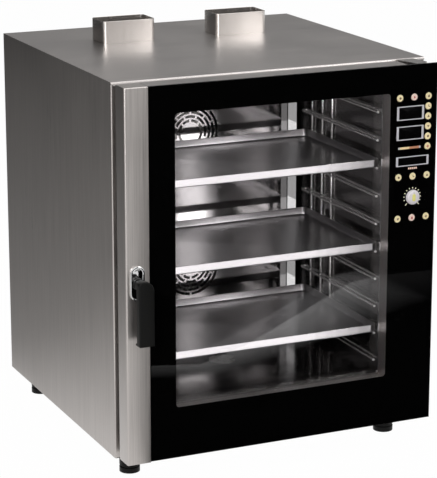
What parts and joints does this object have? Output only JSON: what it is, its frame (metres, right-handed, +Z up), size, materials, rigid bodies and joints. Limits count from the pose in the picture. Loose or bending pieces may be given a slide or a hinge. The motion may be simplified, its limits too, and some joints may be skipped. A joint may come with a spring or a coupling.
{
  "type": "combi oven",
  "caption": "Free-standing stainless combi oven with a glazed side-hung door, lever handle, key and knob panel, wire racks with baking trays, rear fans and vent chimneys.",
  "frame": {"origin": "on the floor under the middle of the overall box, on the cabinet's middle plane", "axes": "+Z up, -Y out of the front with the door, +X to the right seen from the front"},
  "size_m": [0.815, 0.925, 1.021],
  "materials": {
    "brushed_stainless": "fine brushed stainless sheet",
    "galvanised_steel": "plain galvanised sheet",
    "cavity_stainless": "satin stainless sheet",
    "bright_wire": "bright drawn wire",
    "tray_aluminium": "matte aluminium sheet",
    "block_aluminium": "machined",
    "fan_stainless": "pressed sheet",
    "shaft_steel": "ground bar",
    "motor_enamel": "dark enamel",
    "heater_sheath": "heat-tinted tube",
    "mineral_wool": "loose fibre",
    "door_glass": "clear tempered",
    "black_print": "fired black enamel seen through the glass",
    "door_seal": "matte silicone",
    "black_plastic": "fine grained",
    "bright_trim": "polished",
    "circuit": "solder mask",
    "inlet_brass": "plain turned",
    "key_plastic": "semi-gloss cream"
  },
  "bodies": {
    "cabinet": {"left_panel": "brushed_stainless", "right_panel": "brushed_stainless", "top_panel": "brushed_stainless", "back_panel": "galvanised_steel", "base_panel": "galvanised_steel", "front_frame": "brushed_stainless", "cavity_side_walls": "cavity_stainless", "cavity_floor": "cavity_stainless", "cavity_roof": "cavity_stainless", "cavity_rear_wall": "cavity_stainless", "insulation": "mineral_wool", "fan_baffle": "cavity_stainless", "fan_motors": "motor_enamel", "heating_elements": "heater_sheath", "rack_left": "bright_wire", "rack_right": "bright_wire", "tray_upper": "tray_aluminium", "tray_middle": "tray_aluminium", "tray_lower": "tray_aluminium", "vent_chimneys": "brushed_stainless", "feet": "black_plastic", "door_gasket": "door_seal", "hinge_plate_top": "brushed_stainless", "hinge_plate_bottom": "brushed_stainless", "latch_keeper": "brushed_stainless", "drain_pipe": "cavity_stainless", "drain_strainer": "cavity_stainless", "water_inlet": "inlet_brass", "cable_gland": "black_plastic"},
    "door": {"door_left_strip": "brushed_stainless", "door_top_rail": "brushed_stainless", "door_bottom_rail": "brushed_stainless", "control_housing": "brushed_stainless", "hinge_blocks": "block_aluminium", "outer_glass": "door_glass", "glass_border": "black_print", "inner_glass": "door_glass", "control_board": "circuit", "handle_rosette": "bright_trim"},
    "handle": {"handle_lever": "black_plastic", "handle_spindle": "shaft_steel"},
    "knob": {"control_knob": "bright_trim"},
    "fan_upper": {"fan_wheel_upper": "fan_stainless", "motor_shaft_upper": "shaft_steel"},
    "fan_lower": {"fan_wheel_lower": "fan_stainless", "motor_shaft_lower": "shaft_steel"},
    "button_side_1_key": {"button_side_1": "key_plastic"},
    "button_side_2_key": {"button_side_2": "key_plastic"},
    "button_side_3_key": {"button_side_3": "key_plastic"},
    "button_side_4_key": {"button_side_4": "key_plastic"},
    "button_side_5_key": {"button_side_5": "key_plastic"},
    "button_side_6_key": {"button_side_6": "key_plastic"},
    "button_top_1_key": {"button_top_1": "key_plastic"},
    "button_top_2_key": {"button_top_2": "key_plastic"},
    "button_upper_1_key": {"button_upper_1": "key_plastic"},
    "button_upper_2_key": {"button_upper_2": "key_plastic"},
    "button_upper_3_key": {"button_upper_3": "key_plastic"},
    "button_lower_1_key": {"button_lower_1": "key_plastic"},
    "button_lower_2_key": {"button_lower_2": "key_plastic"},
    "button_lower_3_key": {"button_lower_3": "key_plastic"}
  },
  "joints": [
    {"name": "door_hinge", "type": "hinge", "parent": "cabinet", "child": "door", "pos_m": [0.3635, -0.3825, 0.5], "axis": [0, 0, 1], "range_deg": [0, 100]},
    {"name": "handle_turn", "type": "hinge", "parent": "door", "child": "handle", "pos_m": [-0.3805, -0.43, 0.51], "axis": [0, -1, 0], "range_deg": [0, 90]},
    {"name": "knob_turn", "type": "hinge", "parent": "door", "child": "knob", "pos_m": [0.3371, -0.42, 0.6409], "axis": [0, 1, 0], "continuous": true},
    {"name": "fan_upper_spin", "type": "hinge", "parent": "cabinet", "child": "fan_upper", "pos_m": [0, 0.2, 0.72], "axis": [0, 1, 0], "continuous": true},
    {"name": "fan_lower_spin", "type": "hinge", "parent": "cabinet", "child": "fan_lower", "pos_m": [0, 0.2, 0.362], "axis": [0, 1, 0], "continuous": true},
    {"name": "button_side_1_press", "type": "slide", "parent": "door", "child": "button_side_1_key", "axis": [0, 1, 0], "range_m": [0, 0.001], "stiffness_N_per_m": 600, "springref_m": -0.001},
    {"name": "button_side_2_press", "type": "slide", "parent": "door", "child": "button_side_2_key", "axis": [0, 1, 0], "range_m": [0, 0.001], "stiffness_N_per_m": 600, "springref_m": -0.001},
    {"name": "button_side_3_press", "type": "slide", "parent": "door", "child": "button_side_3_key", "axis": [0, 1, 0], "range_m": [0, 0.001], "stiffness_N_per_m": 600, "springref_m": -0.001},
    {"name": "button_side_4_press", "type": "slide", "parent": "door", "child": "button_side_4_key", "axis": [0, 1, 0], "range_m": [0, 0.001], "stiffness_N_per_m": 600, "springref_m": -0.001},
    {"name": "button_side_5_press", "type": "slide", "parent": "door", "child": "button_side_5_key", "axis": [0, 1, 0], "range_m": [0, 0.001], "stiffness_N_per_m": 600, "springref_m": -0.001},
    {"name": "button_side_6_press", "type": "slide", "parent": "door", "child": "button_side_6_key", "axis": [0, 1, 0], "range_m": [0, 0.001], "stiffness_N_per_m": 600, "springref_m": -0.001},
    {"name": "button_top_1_press", "type": "slide", "parent": "door", "child": "button_top_1_key", "axis": [0, 1, 0], "range_m": [0, 0.001], "stiffness_N_per_m": 600, "springref_m": -0.001},
    {"name": "button_top_2_press", "type": "slide", "parent": "door", "child": "button_top_2_key", "axis": [0, 1, 0], "range_m": [0, 0.001], "stiffness_N_per_m": 600, "springref_m": -0.001},
    {"name": "button_upper_1_press", "type": "slide", "parent": "door", "child": "button_upper_1_key", "axis": [0, 1, 0], "range_m": [0, 0.001], "stiffness_N_per_m": 600, "springref_m": -0.001},
    {"name": "button_upper_2_press", "type": "slide", "parent": "door", "child": "button_upper_2_key", "axis": [0, 1, 0], "range_m": [0, 0.001], "stiffness_N_per_m": 600, "springref_m": -0.001},
    {"name": "button_upper_3_press", "type": "slide", "parent": "door", "child": "button_upper_3_key", "axis": [0, 1, 0], "range_m": [0, 0.001], "stiffness_N_per_m": 600, "springref_m": -0.001},
    {"name": "button_lower_1_press", "type": "slide", "parent": "door", "child": "button_lower_1_key", "axis": [0, 1, 0], "range_m": [0, 0.001], "stiffness_N_per_m": 600, "springref_m": -0.001},
    {"name": "button_lower_2_press", "type": "slide", "parent": "door", "child": "button_lower_2_key", "axis": [0, 1, 0], "range_m": [0, 0.001], "stiffness_N_per_m": 600, "springref_m": -0.001},
    {"name": "button_lower_3_press", "type": "slide", "parent": "door", "child": "button_lower_3_key", "axis": [0, 1, 0], "range_m": [0, 0.001], "stiffness_N_per_m": 600, "springref_m": -0.001}
  ]
}
